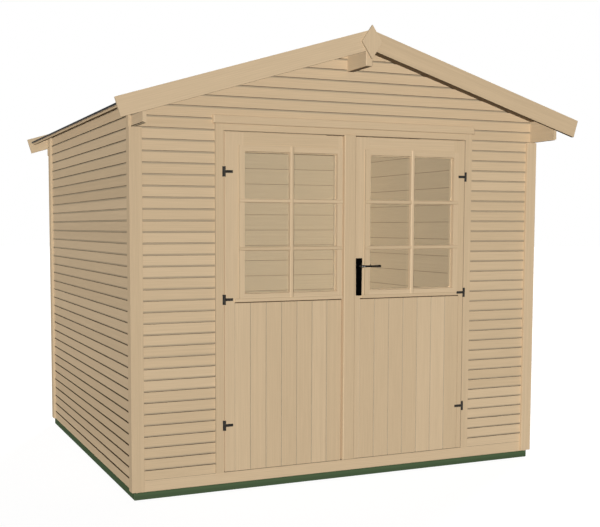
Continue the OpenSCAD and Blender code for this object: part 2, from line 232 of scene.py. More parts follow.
def colour(red, green, blue):
    """A colour picked in screen values, as the linear colour that a shader needs."""
    shares = [value / 255 for value in (red, green, blue)]
    return [share / 12.92 if share <= 0.04045 else ((share + 0.055) / 1.055) ** 2.4
        for share in shares] + [1]


def shade(base, factor):
    return [value * factor for value in base[:3]] + [1]


def timber(name, pale_colour, ring_depth, rough=(0.58, 0.74)):
    """Planed softwood whose rings and fibres follow each board's own grain."""
    wood = Nodes(bpy.data.materials.new(name))
    grain = wood.add("Attribute", "Vector", attribute_name="grain")
    tone = wood.add("Attribute", "Fac", attribute_name="tone")
    rings = wood.add("TexWave", "Fac", {"Vector": wood.mapped(grain, RING_STRETCH), "Scale": RING_SCALE,
        "Distortion": 2.2, "Detail": 1.5, "Detail Scale": 0.06}, wave_type="RINGS", rings_direction="X")
    fibres = wood.noise(wood.mapped(grain, FIBRE_STRETCH), 1.0, 5.0)
    clouds = wood.noise(wood.mapped(grain, CLOUD_STRETCH), 1.0, 2.0)
    light = wood.mix(clouds, shade(pale_colour, 1.05), shade(pale_colour, 0.95))
    striped = wood.mix(rings, shade(pale_colour, ring_depth), light)
    fibrous = wood.mix(1.0, striped, wood.ramp(fibres, FIBRE_SHADES), "MULTIPLY")
    toned = wood.mix(1.0, fibrous, wood.ramp(tone, TONE_AND_SHADE_COLOURS), "MULTIPLY")
    return wood.finish({"Base Color": toned, "Roughness": wood.spread(fibres, *rough),
        "Specular IOR Level": 0.3, "Normal": wood.bump(fibres, 0.25, 0.6 * MM)})


SPRUCE = colour(200, 176, 143)
wall_timber = timber("wall_timber", SPRUCE, 0.965)
trim_timber = timber("trim_timber", shade(SPRUCE, 0.99), 0.96)
door_timber = timber("door_timber", SPRUCE, 0.96)
roof_timber = timber("roof_timber", shade(SPRUCE, 1.12), 0.94)
floor_timber = timber("floor_timber", shade(SPRUCE, 0.93), 0.86)
treated_timber = timber("treated_timber", colour(70, 90, 60), 0.80, (0.66, 0.84))
print("timbers:", [material.name for material in bpy.data.materials if material.name.endswith("timber")])

# %% [markdown]
# ## Felt, iron and glass
# The roof has mineral felt, a dark sheet with stone chips pressed in. Chips are cells of a fine cell
# texture, each a little lighter or darker. The handle plate is black powder-coated iron with a faint
# orange-peel skin, and hands have polished the same coat on the lever until it glints. The hinges are
# rubbed to a dark grey. The panes are clear float glass with hardly any tint or ripple.

# %% Felt, iron and glass materials
CHIP_SCALE = 420
CHIP_COLOURS = [(0.1, colour(34, 34, 36)), (0.9, colour(68, 68, 70))]
PATCH_SHADES = [(0.3, grey(0.85)), (0.7, grey(1.08))]
GLASS_TINT = (0.91, 0.965, 0.985, 1)


def felt_sheet(name):
    felt = Nodes(bpy.data.materials.new(name))
    place = felt.add("TexCoord", "Object")
    chips = felt.add("TexVoronoi", "Color", {"Vector": place, "Scale": CHIP_SCALE})
    patches = felt.noise(place, 3.0, 3.0)
    weathered = felt.mix(1.0, felt.ramp(chips, CHIP_COLOURS), felt.ramp(patches, PATCH_SHADES), "MULTIPLY")
    return felt.finish({"Base Color": weathered, "Roughness": felt.spread(patches, 0.86, 0.96),
        "Normal": felt.bump(chips.node.outputs["Distance"], 0.5, 1 * MM)})


def coated_iron(name, low, high, rough=(0.34, 0.52), gloss=0.03):
    iron = Nodes(bpy.data.materials.new(name))
    place = iron.add("TexCoord", "Object")
    rubbed = iron.noise(place, 45, 3.0)
    return iron.finish({"Base Color": iron.ramp(rubbed, [(0.35, low), (0.75, high)]),
        "Roughness": iron.spread(rubbed, *rough), "Specular IOR Level": gloss,
        "Normal": iron.bump(iron.noise(place, 900, 2.0), 0.12, 0.3 * MM)})


def float_glass(name):
    glass = Nodes(bpy.data.materials.new(name))
    ripple = glass.noise(glass.add("TexCoord", "Object"), 6, 1.0)
    return glass.finish({"Base Color": GLASS_TINT, "Transmission Weight": 1.0, "IOR": 1.45,
        "Roughness": 0.0, "Normal": glass.bump(ripple, 0.01, 0.3 * MM)})


mineral_felt = felt_sheet("mineral_felt")
black_iron = coated_iron("black_iron", colour(1, 1, 1), colour(7, 7, 7))
lever_iron = coated_iron("lever_iron", colour(1, 1, 1), colour(7, 7, 7), (0.22, 0.3), 1.0)
hinge_iron = coated_iron("hinge_iron", colour(46, 44, 41), colour(62, 60, 56))
clear_glass = float_glass("float_glass")
print("irons:", black_iron.name, lever_iron.name, hinge_iron.name)

# %% [markdown]
# ## A board, and how boards become a piece
# A board could be a plain box, but a planer always leaves its long edges slightly eased, and that thin
# bright line is what tells one board from the next. Each board here starts as a cube that is moved to its
# place and bevelled. It is a small mesh of its own until it is finished. Then it gets its grain and joins
# its piece.

# %% Shape a board
SHARP_ANGLE = 0.5


def box_mesh(corner, opposite):
    """A closed box between two opposite corners, as a mesh to work on."""
    low, high = Vector(map(min, corner, opposite)), Vector(map(max, corner, opposite))
    bm = bmesh.new()
    size = Matrix.Diagonal((*(high - low), 1))
    bmesh.ops.create_cube(bm, size=1, matrix=Matrix.Translation((low + high) / 2) @ size)
    return bm


def sharp(edge):
    return edge.calc_face_angle(0) > SHARP_ANGLE


def ease(bm, offset, edges=None, segments=1):
    """Breaks the given edges, or all sharp ones, the way a planer or sandpaper does."""
    chosen = edges if edges is not None else [edge for edge in bm.edges if sharp(edge)]
    bmesh.ops.bevel(bm, geom=chosen, offset=offset, offset_type="OFFSET", segments=segments, profile=0.5,
        affect="EDGES", clamp_overlap=True, material=-1)


print("edges sharper than", round(math.degrees(SHARP_ANGLE)), "degrees get eased")

# %% [markdown]
# No two boards come from the same place in a log. Each one draws its own start along the grain, its own
# distance from the pith and its own tone, from one seeded source, so that every run gives the same shed.

# %% Grain and tone
AXES = {"x": Vector((1, 0, 0)), "y": Vector((0, 1, 0)), "z": Vector((0, 0, 1))}
BOARD_EDGE = 1.5 * MM
GRAIN_LENGTH = 40
PITH_NEAR, PITH_FAR = 0.05, 0.16
PLANED_TONES = (0.5, 1)
# Painted shade tones: mild for inner faces, stronger for grooves, deep for ledges and undersides.
MILD_SHADE_TONE = 0.38
GROOVE_SHADE_TONE = 0.2
DEEP_SHADE_TONE = 0
chance = random.Random(57)


def grain_layers(bm):
    """The places in a mesh that hold grain and tone. Making one loses track of faces, so it comes first."""
    if "grain" not in bm.loops.layers.float_vector:
        bm.loops.layers.float_vector.new("grain")
    if "tone" not in bm.faces.layers.float:
        bm.faces.layers.float.new("tone")
    return bm.loops.layers.float_vector["grain"], bm.faces.layers.float["tone"]


def from_pith():
    return chance.choice((-1, 1)) * chance.uniform(PITH_NEAR, PITH_FAR)


def set_grain(bm, along, faces=None):
    """Gives a finished board its own grain direction, start and tone."""
    across = along.orthogonal().normalized()
    through = along.cross(across)
    start = Vector((chance.uniform(0, GRAIN_LENGTH), from_pith(), from_pith()))
    board_tone = chance.uniform(*PLANED_TONES)
    grain, tone = grain_layers(bm)
    faces = list(bm.faces) if faces is None else faces
    middle = sum((face.calc_center_median() for face in faces), Vector()) / len(faces)
    for face in faces:
        face[tone] = board_tone
        for loop in face.loops:
            offset = loop.vert.co - middle
            loop[grain] = Vector((offset.dot(along), offset.dot(across), offset.dot(through))) + start
    return bm


def set_tone(bm, value, chosen):
    """Gives another tone to the faces that a test picks."""
    tone = grain_layers(bm)[1]
    bm.normal_update()
    for face in bm.faces:
        if chosen(face):
            face[tone] = value
    return bm


def board(low, high, along, edge=BOARD_EDGE):
    """A planed board with eased edges."""
    bm = box_mesh(low, high)
    ease(bm, edge)
    return set_grain(bm, AXES[along])


print("tones: planed", PLANED_TONES, "raw", MILD_SHADE_TONE, "grooves", GROOVE_SHADE_TONE, "dusty", DEEP_SHADE_TONE)

# %% Join boards into a piece
def piece(name, parts, material, body, slot, *nodes):
    """Joins finished boards into one object that rides on a body and stands for solids."""
    whole = bmesh.new()
    for part in parts:
        lump = bpy.data.meshes.new("lump")
        part.to_mesh(lump)
        part.free()
        whole.from_mesh(lump)
        bpy.data.meshes.remove(lump)
    mesh = bpy.data.meshes.new(name)
    whole.to_mesh(mesh)
    whole.free()
    mesh.materials.append(material)
    made = bpy.data.objects.new(name, mesh)
    scene.collection.objects.link(made)
    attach(made, body)
    if nodes:
        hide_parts(*nodes)
    print(name, "has", len(parts), "parts and", len(mesh.polygons), "faces")


def trim_piece(name, parts, node):
    piece(name, parts, trim_timber, "root", "trim_boards", node)


# %% [markdown]
# ## Base, floor and sill
# The shed stands on green pressure-treated beams. Bearers run from front to back under the floor, and the
# floor boards lie across them. Behind the green skin the beams are plain timber, so they are made as
# boards. A node can hold several solids, so each solid's box is found by walking along its edges. The sill
# is a plank under the front wall and the doors. Its top faces get a painted shade that draws a faint line.

# %% Base beams
BEAM_EDGE = 2.5 * MM
MERGE = 0.001 * MM


def merged(node):
    """A copy of a solid's mesh with its loose triangles joined up."""
    bm = bmesh.new()
    bm.from_mesh(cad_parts[node].data)
    bmesh.ops.remove_doubles(bm, verts=bm.verts[:], dist=MERGE)
    return bm


def solid_boxes(node):
    """The box of each separate solid in a node."""
    bm = merged(node)
    left = set(bm.verts)
    boxes = []
    while left:
        group = [left.pop()]
        for vert in group:
            found = {edge.other_vert(vert) for edge in vert.link_edges} & left
            left -= found
            group += found
        places = [vert.co for vert in group]
        boxes.append((Vector(map(min, *places)), Vector(map(max, *places))))
    bm.free()
    return sorted(boxes, key=lambda box: tuple(box[0]))


beams = [board(low, high, "x", BEAM_EDGE) for low, high in solid_boxes("base_cross_beams")]
for node in ("base_side_beams", "floor_bearers"):
    beams += [board(low, high, "y", BEAM_EDGE) for low, high in solid_boxes(node)]
piece("base_beams", beams, treated_timber, "root", "treated_base", "base_cross_beams", "base_side_beams",
    "floor_bearers")

# %% Floor boards and sill
BOARD_H = 114 * MM
GAP = 0.4 * MM
NEAR = 0.01 * MM
SILL_EDGE = 2 * MM
UP, DOWN = AXES["z"], -AXES["z"]
SQUARE_ON, MOSTLY, SLANTED = 0.9, 0.8, 0.3


def steps(start, end, step):
    """Start and end of each board laid side by side from start, the last one cut to fit."""
    count = math.ceil((end - start - NEAR) / step)
    return [(start + index * step, min(start + (index + 1) * step, end)) for index in range(count)]


def facing(direction, least=SQUARE_ON):
    """A test for faces that look in a direction: square on, mostly, or at a slant."""
    return lambda face: face.normal.dot(direction) > least


low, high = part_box("floor")
floor_boards = [board((low.x, near + GAP, low.z), (high.x, far - GAP, high.z), "x")
    for near, far in steps(low.y, high.y, BOARD_H)]
piece("floor_boards", floor_boards, floor_timber, "root", "floor_boards", "floor")

low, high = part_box("front_sill")
sill = board(low, high, "x", SILL_EDGE)
# Painted shade on the sill's top faces, for a faint dark line.
set_tone(sill, GROOVE_SHADE_TONE, facing(UP, SLANTED))
trim_piece("front_sill_plank", [sill], "front_sill")

# %% [markdown]
# ## Wall boards
# The walls are stacked boards 114 mm high. Each has a second, false joint milled half-way up, so that from
# outside the wall shows courses of 57 mm, and from inside only the true joints. A joint is a square groove
# with a lip above and a ledge below. The groove's floor is painted with shade, and its lip and ledge with a
# deep painted shade. The profile could be drawn and extruded. Here each board starts as a box, is cut
# across at the heights where the face changes, and the cut lines are pushed in. From inside, the eased
# edges of two boards get a deep painted shade that draws a fine line at each true joint, and the inner
# faces a mild painted shade. The end walls lie half a board lower than the side walls, so that their boards
# can lock into each other at the corners.

# %% Clad board
COURSE = BOARD_H / 2
GROOVE_DEPTH = 9 * MM
GROOVE_TOP = 5 * MM
LIP_DROP = 0.8 * MM
GROOVE_BOTTOM = -4.5 * MM
LEDGE_FALL = 1 * MM
INNER_EDGE = 1.2 * MM


def cut_across(bm, point, normal, clear_outer=False):
    """Cuts a mesh along a plane, and keeps both sides unless told to clear one."""
    geometry = bm.verts[:] + bm.edges[:] + bm.faces[:]
    bmesh.ops.bisect_plane(bm, geom=geometry, dist=MERGE, plane_co=point, plane_no=normal,
        clear_outer=clear_outer)


def edges_at(bm, axis, place):
    """The edges that lie in a plane square to an axis."""
    def in_plane(vert):
        return abs(vert.co.dot(AXES[axis]) - place) < NEAR

    return [edge for edge in bm.edges if all(in_plane(vert) for vert in edge.verts)]


def runs_along(edge, direction):
    return abs((edge.verts[0].co - edge.verts[1].co).normalized().dot(direction)) > SQUARE_ON


def clad_board(low, high, along, outward, bottom_z):
    """A wall board whose bottom joint would lie at bottom_z, with its grooves on the outward side."""
    bm = box_mesh(low, high)
    face_at = max(vert.co.dot(outward) for vert in bm.verts)
    floor_at = face_at - GROOVE_DEPTH
    lines = [bottom_z, bottom_z + COURSE, bottom_z + BOARD_H]
    floor_top, floor_bottom = GROOVE_TOP - LIP_DROP, GROOVE_BOTTOM + LEDGE_FALL
    for line in lines:
        for height in (GROOVE_TOP, floor_top, floor_bottom, GROOVE_BOTTOM):
            if low.z + NEAR < line + height < high.z - NEAR:
                cut_across(bm, (0, 0, line + height), UP)

    def inside(edge):
        return all(vert.co.dot(outward) < face_at - NEAR for vert in edge.verts)

    joints = edges_at(bm, "z", bottom_z) + edges_at(bm, "z", bottom_z + BOARD_H)
    inner = [edge for edge in joints if inside(edge) and not runs_along(edge, outward)]
    for line in lines:
        for vert in bm.verts:
            on_face = vert.co.dot(outward) > face_at - NEAR
            if on_face and floor_bottom - NEAR < vert.co.z - line < floor_top + NEAR:
                vert.co -= outward * GROOVE_DEPTH
    ease(bm, INNER_EDGE, inner)

    def on_floor(face):
        return all(abs(vert.co.dot(outward) - floor_at) < NEAR for vert in face.verts)

    set_grain(bm, AXES[along])
    # Painted shade: groove floors, then deep shade on inner eased edges, lips and ledges, mild shade on
    # inner faces.
    set_tone(bm, GROOVE_SHADE_TONE, on_floor)
    set_tone(bm, DEEP_SHADE_TONE, facing(-outward, SLANTED))
    set_tone(bm, MILD_SHADE_TONE, facing(-outward))
    return set_tone(bm, DEEP_SHADE_TONE, lambda face: abs(face.normal.z) > SQUARE_ON)


print("courses of", round(COURSE / MM), "mm with grooves", round(GROOVE_DEPTH / MM), "mm deep")

# %% Stack the walls
FIRST_JOINT_Z = 150 * MM
OUTWARD = {"left": -AXES["x"], "right": AXES["x"], "front": -AXES["y"], "back": AXES["y"]}
WALLS = {"left_wall": ("left", "y"), "right_wall": ("right", "y"), "back_wall": ("back", "x"),
    "front_wall_left": ("front", "x"), "front_wall_right": ("front", "x")}


def clad_wall(low, high, along, outward):
    """Boards from the bottom of a wall to its top, cut where the wall starts or ends between joints."""
    first = FIRST_JOINT_Z - (BOARD_H if along == "y" else BOARD_H + COURSE)
    bottom = first + math.floor((low.z + NEAR - first) / BOARD_H) * BOARD_H
    courses = []
    while bottom < high.z - NEAR:
        base = Vector((low.x, low.y, max(low.z, bottom)))
        top = Vector((high.x, high.y, min(high.z, bottom + BOARD_H)))
        courses.append(clad_board(base, top, along, outward, bottom))
        bottom += BOARD_H
    return courses


for node, (side, along) in WALLS.items():
    low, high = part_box(node)
    courses = clad_wall(low, high, along, OUTWARD[side])
    piece(node + "_boards", courses, wall_timber, "root", "wall_boards", node)

# %% [markdown]
# ## Gables
# A gable is the same stack of boards, sawn off along both slopes of the roof and notched for the ridge
# beam. The boards are laid full width and then cut with planes, as a carpenter saws a stack along a chalk
# line. The slope is read from the solids, so a gable always meets the roof. The solid roof is one layer 20
# mm thick. The real one is thin boards with a batten under the eave edge, so whatever carries the roof is
# cut a little higher.

# %% Roof slope
gable_low, gable_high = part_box("front_gable")
beam_low, beam_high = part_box("ridge_purlin")
eave_low, eave_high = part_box("right_eave_plank")
SLOPE = (gable_high.z - eave_high.z) / (eave_low.x - beam_high.x)
SLOPE_ANGLE = math.atan(SLOPE)
SLOPE_NORMAL = {side: OUTWARD[side] * math.sin(SLOPE_ANGLE) + UP * math.cos(SLOPE_ANGLE) for side in SIDES}
ROOF_LAYER_T = 20 * MM
ROOF_BOARD_T = 10 * MM
BATTEN_T = ROOF_LAYER_T - ROOF_BOARD_T
SEAT_LIFT = UP * (BATTEN_T / math.cos(SLOPE_ANGLE))
SEAT_Z = gable_high.z + beam_high.x * SLOPE + SEAT_LIFT.z
print("roof slope:", round(math.degrees(SLOPE_ANGLE), 2), "degrees")

# %% [markdown]
# A board that reaches the ridge beam is notched: what lies beside the beam becomes two short ends, and what
# lies under it stays whole. All lower boards are only sawn along the slopes.

# %% Build both gables
def cut_away(bm, point, normal):
    """Saws a board along a plane and keeps the side behind the plane's normal."""
    cut_across(bm, point, normal, clear_outer=True)
    open_edges = [edge for edge in bm.edges if edge.is_boundary]
    if open_edges:
        bmesh.ops.holes_fill(bm, edges=open_edges, sides=0)
        bmesh.ops.recalc_face_normals(bm, faces=bm.faces[:])
    return bm


def saw_to_roof(bm, *sides):
    """Saws a board off along the slope of each named side."""
    for side in sides:
        cut_away(bm, (0, 0, SEAT_Z), SLOPE_NORMAL[side])


def notched(course):
    """A board cut into the part under the ridge beam and the two ends beside it."""
    parts = [cut_away(course.copy(), (0, 0, beam_low.z), UP)]
    for side in SIDES:
        end = cut_away(course.copy(), (0, 0, beam_low.z), DOWN)
        parts.append(cut_away(end, OUTWARD[side] * beam_high.x, -OUTWARD[side]))
    course.free()
    return parts


def gable_stack(node, outward):
    low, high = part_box(node)
    stack = []
    for course in clad_wall(low, high + SEAT_LIFT, "x", outward):
        reaches_beam = max(vert.co.z for vert in course.verts) > beam_low.z
        for part in notched(course) if reaches_beam else [course]:
            saw_to_roof(part, *SIDES)
            if part.faces:
                stack.append(part)
    return stack


for end in ENDS:
    node = end + "_gable"
    piece(node + "_boards", gable_stack(node, OUTWARD[end]), wall_timber, "root", "wall_boards", node)

# %% [markdown]
# ## Trims and the door surround
# Each corner of the shed is closed by two boards: one on the end wall, and one on the side wall that runs
# up to the roof and keeps its sawn edges. The doorway has posts in the wall, casings over their joints, a
# head between the casings, and a wider board over the head that throws the rain off.

# %% Corner boards
TRIM_EDGE = 0.6 * MM
CORNER_BOARD_W = 65 * MM
wall_low, wall_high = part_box("right_wall")


def corner_boards(end, node):
    low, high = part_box(node)
    wall_y = wall_low.y if end == "front" else wall_high.y
    face_y, side_y = (low.y, high.y) if end == "front" else (high.y, low.y)
    boards = []
    for side in SIDES:
        sign = OUTWARD[side].x
        outer_x = sign * high.x
        inner_x = sign * (high.x - CORNER_BOARD_W)
        boards.append(board((inner_x, face_y, low.z), (outer_x, wall_y, wall_high.z), "z", TRIM_EDGE))
        top_z = high.z + SEAT_LIFT.z
        side_board = box_mesh((sign * wall_high.x, wall_y, low.z), (outer_x, side_y, top_z))
        saw_to_roof(side_board, side)
        ease(side_board, TRIM_EDGE)
        set_grain(side_board, AXES["z"])
        # Painted mild shade on the side board's end faces.
        boards.append(set_tone(side_board, MILD_SHADE_TONE, lambda face: abs(face.normal.y) > SLANTED))
    return boards


for end in ENDS:
    node = end + "_corner_trims"
    trim_piece(end + "_corner_boards", corner_boards(end, node), node)

# %% Door posts, head and head board
JAMB_T = 20 * MM
HEAD_BOARD_ROUND = 5 * MM
SIDEWAYS = 0.5
post_low, post_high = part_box("door_jambs")
head_low, head_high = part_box("door_frame_head")


def shaded_sides(bm):
    """Paints shade on the outer sides of a trim, so they are darker than its front or back face."""
    middle = sum((vert.co for vert in bm.verts), Vector()) / len(bm.verts)

    def outer_side(face):
        points_out = face.normal.dot(face.calc_center_median() - middle) > 0
        return points_out and abs(face.normal.y) < SIDEWAYS

    return set_tone(bm, GROOVE_SHADE_TONE, outer_side)


posts = []
for side in SIDES:
    sign = OUTWARD[side].x
    inner_x = sign * head_high.x
    casing_end = (sign * post_high.x, head_high.y, post_high.z)
    # Painted shade on the casing's outer sides.
    posts.append(shaded_sides(board((inner_x, post_low.y, post_low.z), casing_end, "z", TRIM_EDGE)))
    jamb_end = (sign * (head_high.x + JAMB_T), post_high.y, head_low.z)
    posts.append(board((inner_x, head_high.y, post_low.z), jamb_end, "z", TRIM_EDGE))
trim_piece("door_posts", posts, "door_jambs")

head = board(head_low, head_high, "x", TRIM_EDGE)
trim_piece("door_head", [head], "door_frame_head")

low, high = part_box("door_head_trim")
head_board = box_mesh(low, high)
ease(head_board, HEAD_BOARD_ROUND, edges_at(head_board, "y", low.y), 3)
set_grain(head_board, AXES["x"])
trim_piece("door_head_board", [head_board], "door_head_trim")

# %% [markdown]
# ## Roof timbers
# The ridge beam and the two eave planks run right through and carry the overhangs. The roof boards lie
# across them from the ridge to the eaves. It is easiest to model a roof board flat, with its length along
# X, and then tip it into the slope. The left slope is the mirror image, and a mirror turns a mesh inside
# out, so its faces are flipped back.

# %% Ridge beam and eave planks
BEAM_ROUND = 2.5 * MM
ridge_beam = box_mesh(beam_low, beam_high + SEAT_LIFT)
saw_to_roof(ridge_beam, *SIDES)
ease(ridge_beam, BEAM_ROUND)
set_grain(ridge_beam, AXES["y"])
# Painted shade: mild on the beam's sides, deep on its underside.
for side in SIDES:
    set_tone(ridge_beam, MILD_SHADE_TONE, facing(OUTWARD[side]))
set_tone(ridge_beam, DEEP_SHADE_TONE, facing(DOWN))
piece("ridge_beam", [ridge_beam], wall_timber, "root", "roof_timber", "ridge_purlin")

for side in SIDES:
    low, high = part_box(side + "_eave_plank")
    plank = clad_board(low, high + SEAT_LIFT, "y", OUTWARD[side], low.z)
    saw_to_roof(plank, side)
    piece(side + "_eave_board", [plank], wall_timber, "root", "wall_boards", side + "_eave_plank")

# %% Roof boards and eave battens
BATTEN_W = 30 * MM
OVER_RIDGE = 50 * MM
roof_low, roof_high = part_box("right_roof_boards")
RIDGE_Z = roof_high.z - ROOF_LAYER_T / math.cos(SLOPE_ANGLE)


def tip(bm, side):
    """Tips a flat mesh, X down the slope and Z off the roof, into one of the slopes."""
    into_slope = Matrix.Translation((0, 0, RIDGE_Z)) @ Matrix.Rotation(SLOPE_ANGLE, 4, "Y")
    if side == "left":
        into_slope = Matrix.Scale(-1, 4, AXES["x"]) @ into_slope
    bmesh.ops.transform(bm, matrix=into_slope, verts=bm.verts[:])
    if side == "left":
        bmesh.ops.reverse_faces(bm, faces=bm.faces[:])
    return bm


def lay(bm, side):
    """Tips a finished length into a slope and saws it plumb at the ridge."""
    return cut_away(tip(bm, side), (0, 0, 0), -OUTWARD[side])


def run(end_x, top):
    """Length down the slope of a square-cut board whose top corner ends at end_x."""
    return (end_x - top * math.sin(SLOPE_ANGLE)) / math.cos(SLOPE_ANGLE)


def slope_board(end_x, ys, heights, side, edge, segments=1):
    """A board down a slope, between two places along the ridge and two heights over the slope."""
    bm = box_mesh((-OVER_RIDGE, ys[0], heights[0]), (run(end_x, heights[1]), ys[1], heights[1]))
    ease(bm, edge, segments=segments)
    set_grain(bm, AXES["x"])
    return lay(bm, side)


def eave_batten(side):
    """A strip under the lower ends of the roof boards."""
    end = run(roof_high.x, ROOF_LAYER_T)
    return tip(board((end - BATTEN_W, roof_low.y, 0), (end, roof_high.y, BATTEN_T), "y"), side)


for side in SIDES:
    laid = [slope_board(roof_high.x, (near + GAP, far - GAP), (BATTEN_T, ROOF_LAYER_T), side, BOARD_EDGE)
        for near, far in steps(roof_low.y, roof_high.y, BOARD_H)]
    laid.append(eave_batten(side))
    # Painted deep shade on the undersides of the roof boards and battens.
    for part in laid:
        set_tone(part, DEEP_SHADE_TONE, facing(DOWN, MOSTLY))
    piece(side + "_roof_boarding", laid, roof_timber, "root", "roof_timber", side + "_roof_boards")

# %% [markdown]
# ## Roofing felt
# Felt comes in rolls, so each slope is covered by strips along the ridge, laid from the eave upwards with
# each lapping over the one below. A strip is a thin sheet whose lower edge is lifted by the thickness of
# the strip under it. The lowest one is turned down over the board ends. A last strip is folded over the
# ridge, and big-headed nails hold the laps and the eaves.

# %% Felt strips
FELT_T = 3 * MM
FELT_EDGE = 0.8 * MM
FELT_LAP = 70 * MM
FELT_STRIPS = 3
FELT_LIP_H = 10 * MM
felt_low, felt_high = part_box("right_roof_felt")
felt_top = ROOF_LAYER_T + FELT_T
felt_run = run(felt_high.x, felt_top)
strip_w = (felt_run + (FELT_STRIPS - 1) * FELT_LAP) / FELT_STRIPS


def strip_edge(index):
    """How far down the slope a strip ends, counted from the eave."""
    return felt_run - index * (strip_w - FELT_LAP)


def felt_strip(index, side):
    """One strip that laps over the one below it."""
    lower = strip_edge(index)
    upper = max(lower - strip_w, -OVER_RIDGE)
    bm = box_mesh((upper, felt_low.y, ROOF_LAYER_T), (lower, felt_high.y, felt_top))
    for vert in bm.verts:
        if vert.co.x > lower - NEAR and index > 0:
            vert.co.z += FELT_T
    ease(bm, FELT_EDGE)
    set_grain(bm, AXES["y"])
    return lay(bm, side)


def felt_lip(side):
    """The edge of the lowest strip, turned down in front of the board ends."""
    lip_top = ROOF_LAYER_T + FELT_T / 2
    return tip(board((felt_run - FELT_T, felt_low.y, felt_top - FELT_LIP_H),
        (felt_run, felt_high.y, lip_top), "y", FELT_EDGE), side)


for side in SIDES:
    strips = [felt_strip(index, side) for index in range(FELT_STRIPS)] + [felt_lip(side)]
    piece(side + "_felt_strips", strips, mineral_felt, "root", "roof_felt", side + "_roof_felt")

# %% Ridge strip and felt nails
RIDGE_STRIP_HALF = 150 * MM
NAIL_STEP = 145 * MM
NAIL_R, NAIL_TOP_R = 5 * MM, 2.75 * MM
NAIL_H = 1.2 * MM
NAIL_SEAT = 0.5 * MM
NAILS_IN, RIDGE_NAILS_IN = 30 * MM, 25 * MM
LAP_LIFT = 2.4 * FELT_T

felt_top_z = RIDGE_Z + felt_top / math.cos(SLOPE_ANGLE)
ridge_strip = box_mesh((-RIDGE_STRIP_HALF, felt_low.y, 0), (RIDGE_STRIP_HALF, felt_high.y, FELT_T))
cut_across(ridge_strip, (0, 0, 0), AXES["x"])
for vert in ridge_strip.verts:
    vert.co.z += felt_top_z - abs(vert.co.x) * SLOPE
set_grain(ridge_strip, AXES["y"])
piece("ridge_felt_strip", [ridge_strip], mineral_felt, "root", "roof_felt")


def cone(segments, radius, top_radius, depth, place):
    """A round head or bar with closed ends."""
    bm = bmesh.new()
    bmesh.ops.create_cone(bm, cap_ends=True, segments=segments, radius1=radius, radius2=top_radius,
        depth=depth, matrix=place)
    return bm


def felt_nail(along, y, height, side):
    """A low round nail head lying on the slope."""
    place = Matrix.Translation((along, y, height + NAIL_SEAT))
    return tip(cone(10, NAIL_R, NAIL_TOP_R, NAIL_H, place), side)


nails = []
nail_rows = [(strip_edge(index) - NAILS_IN, LAP_LIFT if index else FELT_T) for index in range(FELT_STRIPS)]
nail_rows.append((RIDGE_STRIP_HALF - RIDGE_NAILS_IN, 2 * FELT_T))
nail_count = int((felt_high.y - felt_low.y) / NAIL_STEP)
for along, lift in nail_rows:
    for index in range(nail_count):
        y = felt_low.y + (index + 0.5) * (felt_high.y - felt_low.y) / nail_count
        nails += [felt_nail(along, y, ROOF_LAYER_T + lift, side) for side in SIDES]
piece("felt_nails", nails, black_iron, "root", "black_iron")

# %% [markdown]
# ## Barge boards and diamonds
# A barge board closes each end of each slope. The two boards of a gable meet in a plumb cut under the
# ridge, and a diamond-shaped plate covers the joint. The plate starts as a circle of four points, which is
# a square on its corner, stretched to its height and width and then given its thickness.

# %% Barge boards
BARGE_EDGE = 1 * MM
BARGE_W = 97 * MM

barge_top = (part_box("front_right_barge")[1].z - RIDGE_Z) * math.cos(SLOPE_ANGLE)
for end in ENDS:
    for side in SIDES:
        node = end + "_" + side + "_barge"
        low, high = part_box(node)
        reach = max(abs(low.x), abs(high.x))
        plank = slope_board(reach, (low.y, high.y), (barge_top - BARGE_W, barge_top), side, BARGE_EDGE, 2)
        # Painted shade: mild on the inner face, deep on the underside.
        set_tone(plank, MILD_SHADE_TONE, facing(-OUTWARD[end]))
        set_tone(plank, DEEP_SHADE_TONE, facing(DOWN, MOSTLY))
        trim_piece(node + "_board", [plank], node)

# %% Diamonds
DIAMOND_EDGE = 0.6 * MM
FACE_FRONT = Matrix.Rotation(math.radians(90), 4, "X")

for end in ENDS:
    node = end + "_gable_diamond"
    low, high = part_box(node)
    middle = (low + high) / 2
    shape = bmesh.new()
    bmesh.ops.create_circle(shape, cap_ends=True, segments=4, radius=1, matrix=FACE_FRONT)
    stretch = Matrix.Diagonal(((high.x - low.x) / 2, 1, (high.z - low.z) / 2, 1))
    place = Matrix.Translation((middle.x, low.y, middle.z))
    bmesh.ops.transform(shape, matrix=place @ stretch, verts=shape.verts[:])
    grown = bmesh.ops.extrude_face_region(shape, geom=shape.faces[:])["geom"]
    moved = [part for part in grown if isinstance(part, bmesh.types.BMVert)]
    bmesh.ops.translate(shape, vec=(0, high.y - low.y, 0), verts=moved)
    bmesh.ops.recalc_face_normals(shape, faces=shape.faces[:])
    ease(shape, DIAMOND_EDGE)
    set_grain(shape, AXES["z"])
    # Painted shade on the diamond's edge faces.
    trim_piece(end + "_diamond", [shaded_sides(shape)], node)

# %% [markdown]
# ## Door leaves
# A leaf is a frame of stiles and rails with a window above and upright boards below. The frame's recesses
# and rebates are already right in the solid, so its mesh is copied, merged and eased instead of being built
# again. The copy is cut where stiles and rails meet, and each member gets its own grain. The upright boards
# run up to the drip bar, and their tops are planed to a steep slope with a deep painted shade, which leaves
# a dark groove under the bar. Their eased sides get a lighter painted shade.

# %% Copies of solids, and their joints
FLAT_ANGLE = math.radians(1)


def copied(node):
    """A merged copy of a solid's mesh, with its flat faces joined up and shaded flat."""
    bm = merged(node)
    bmesh.ops.dissolve_limit(bm, angle_limit=FLAT_ANGLE, verts=bm.verts[:], edges=bm.edges[:])
    for face in bm.faces:
        face.smooth = False
    return bm


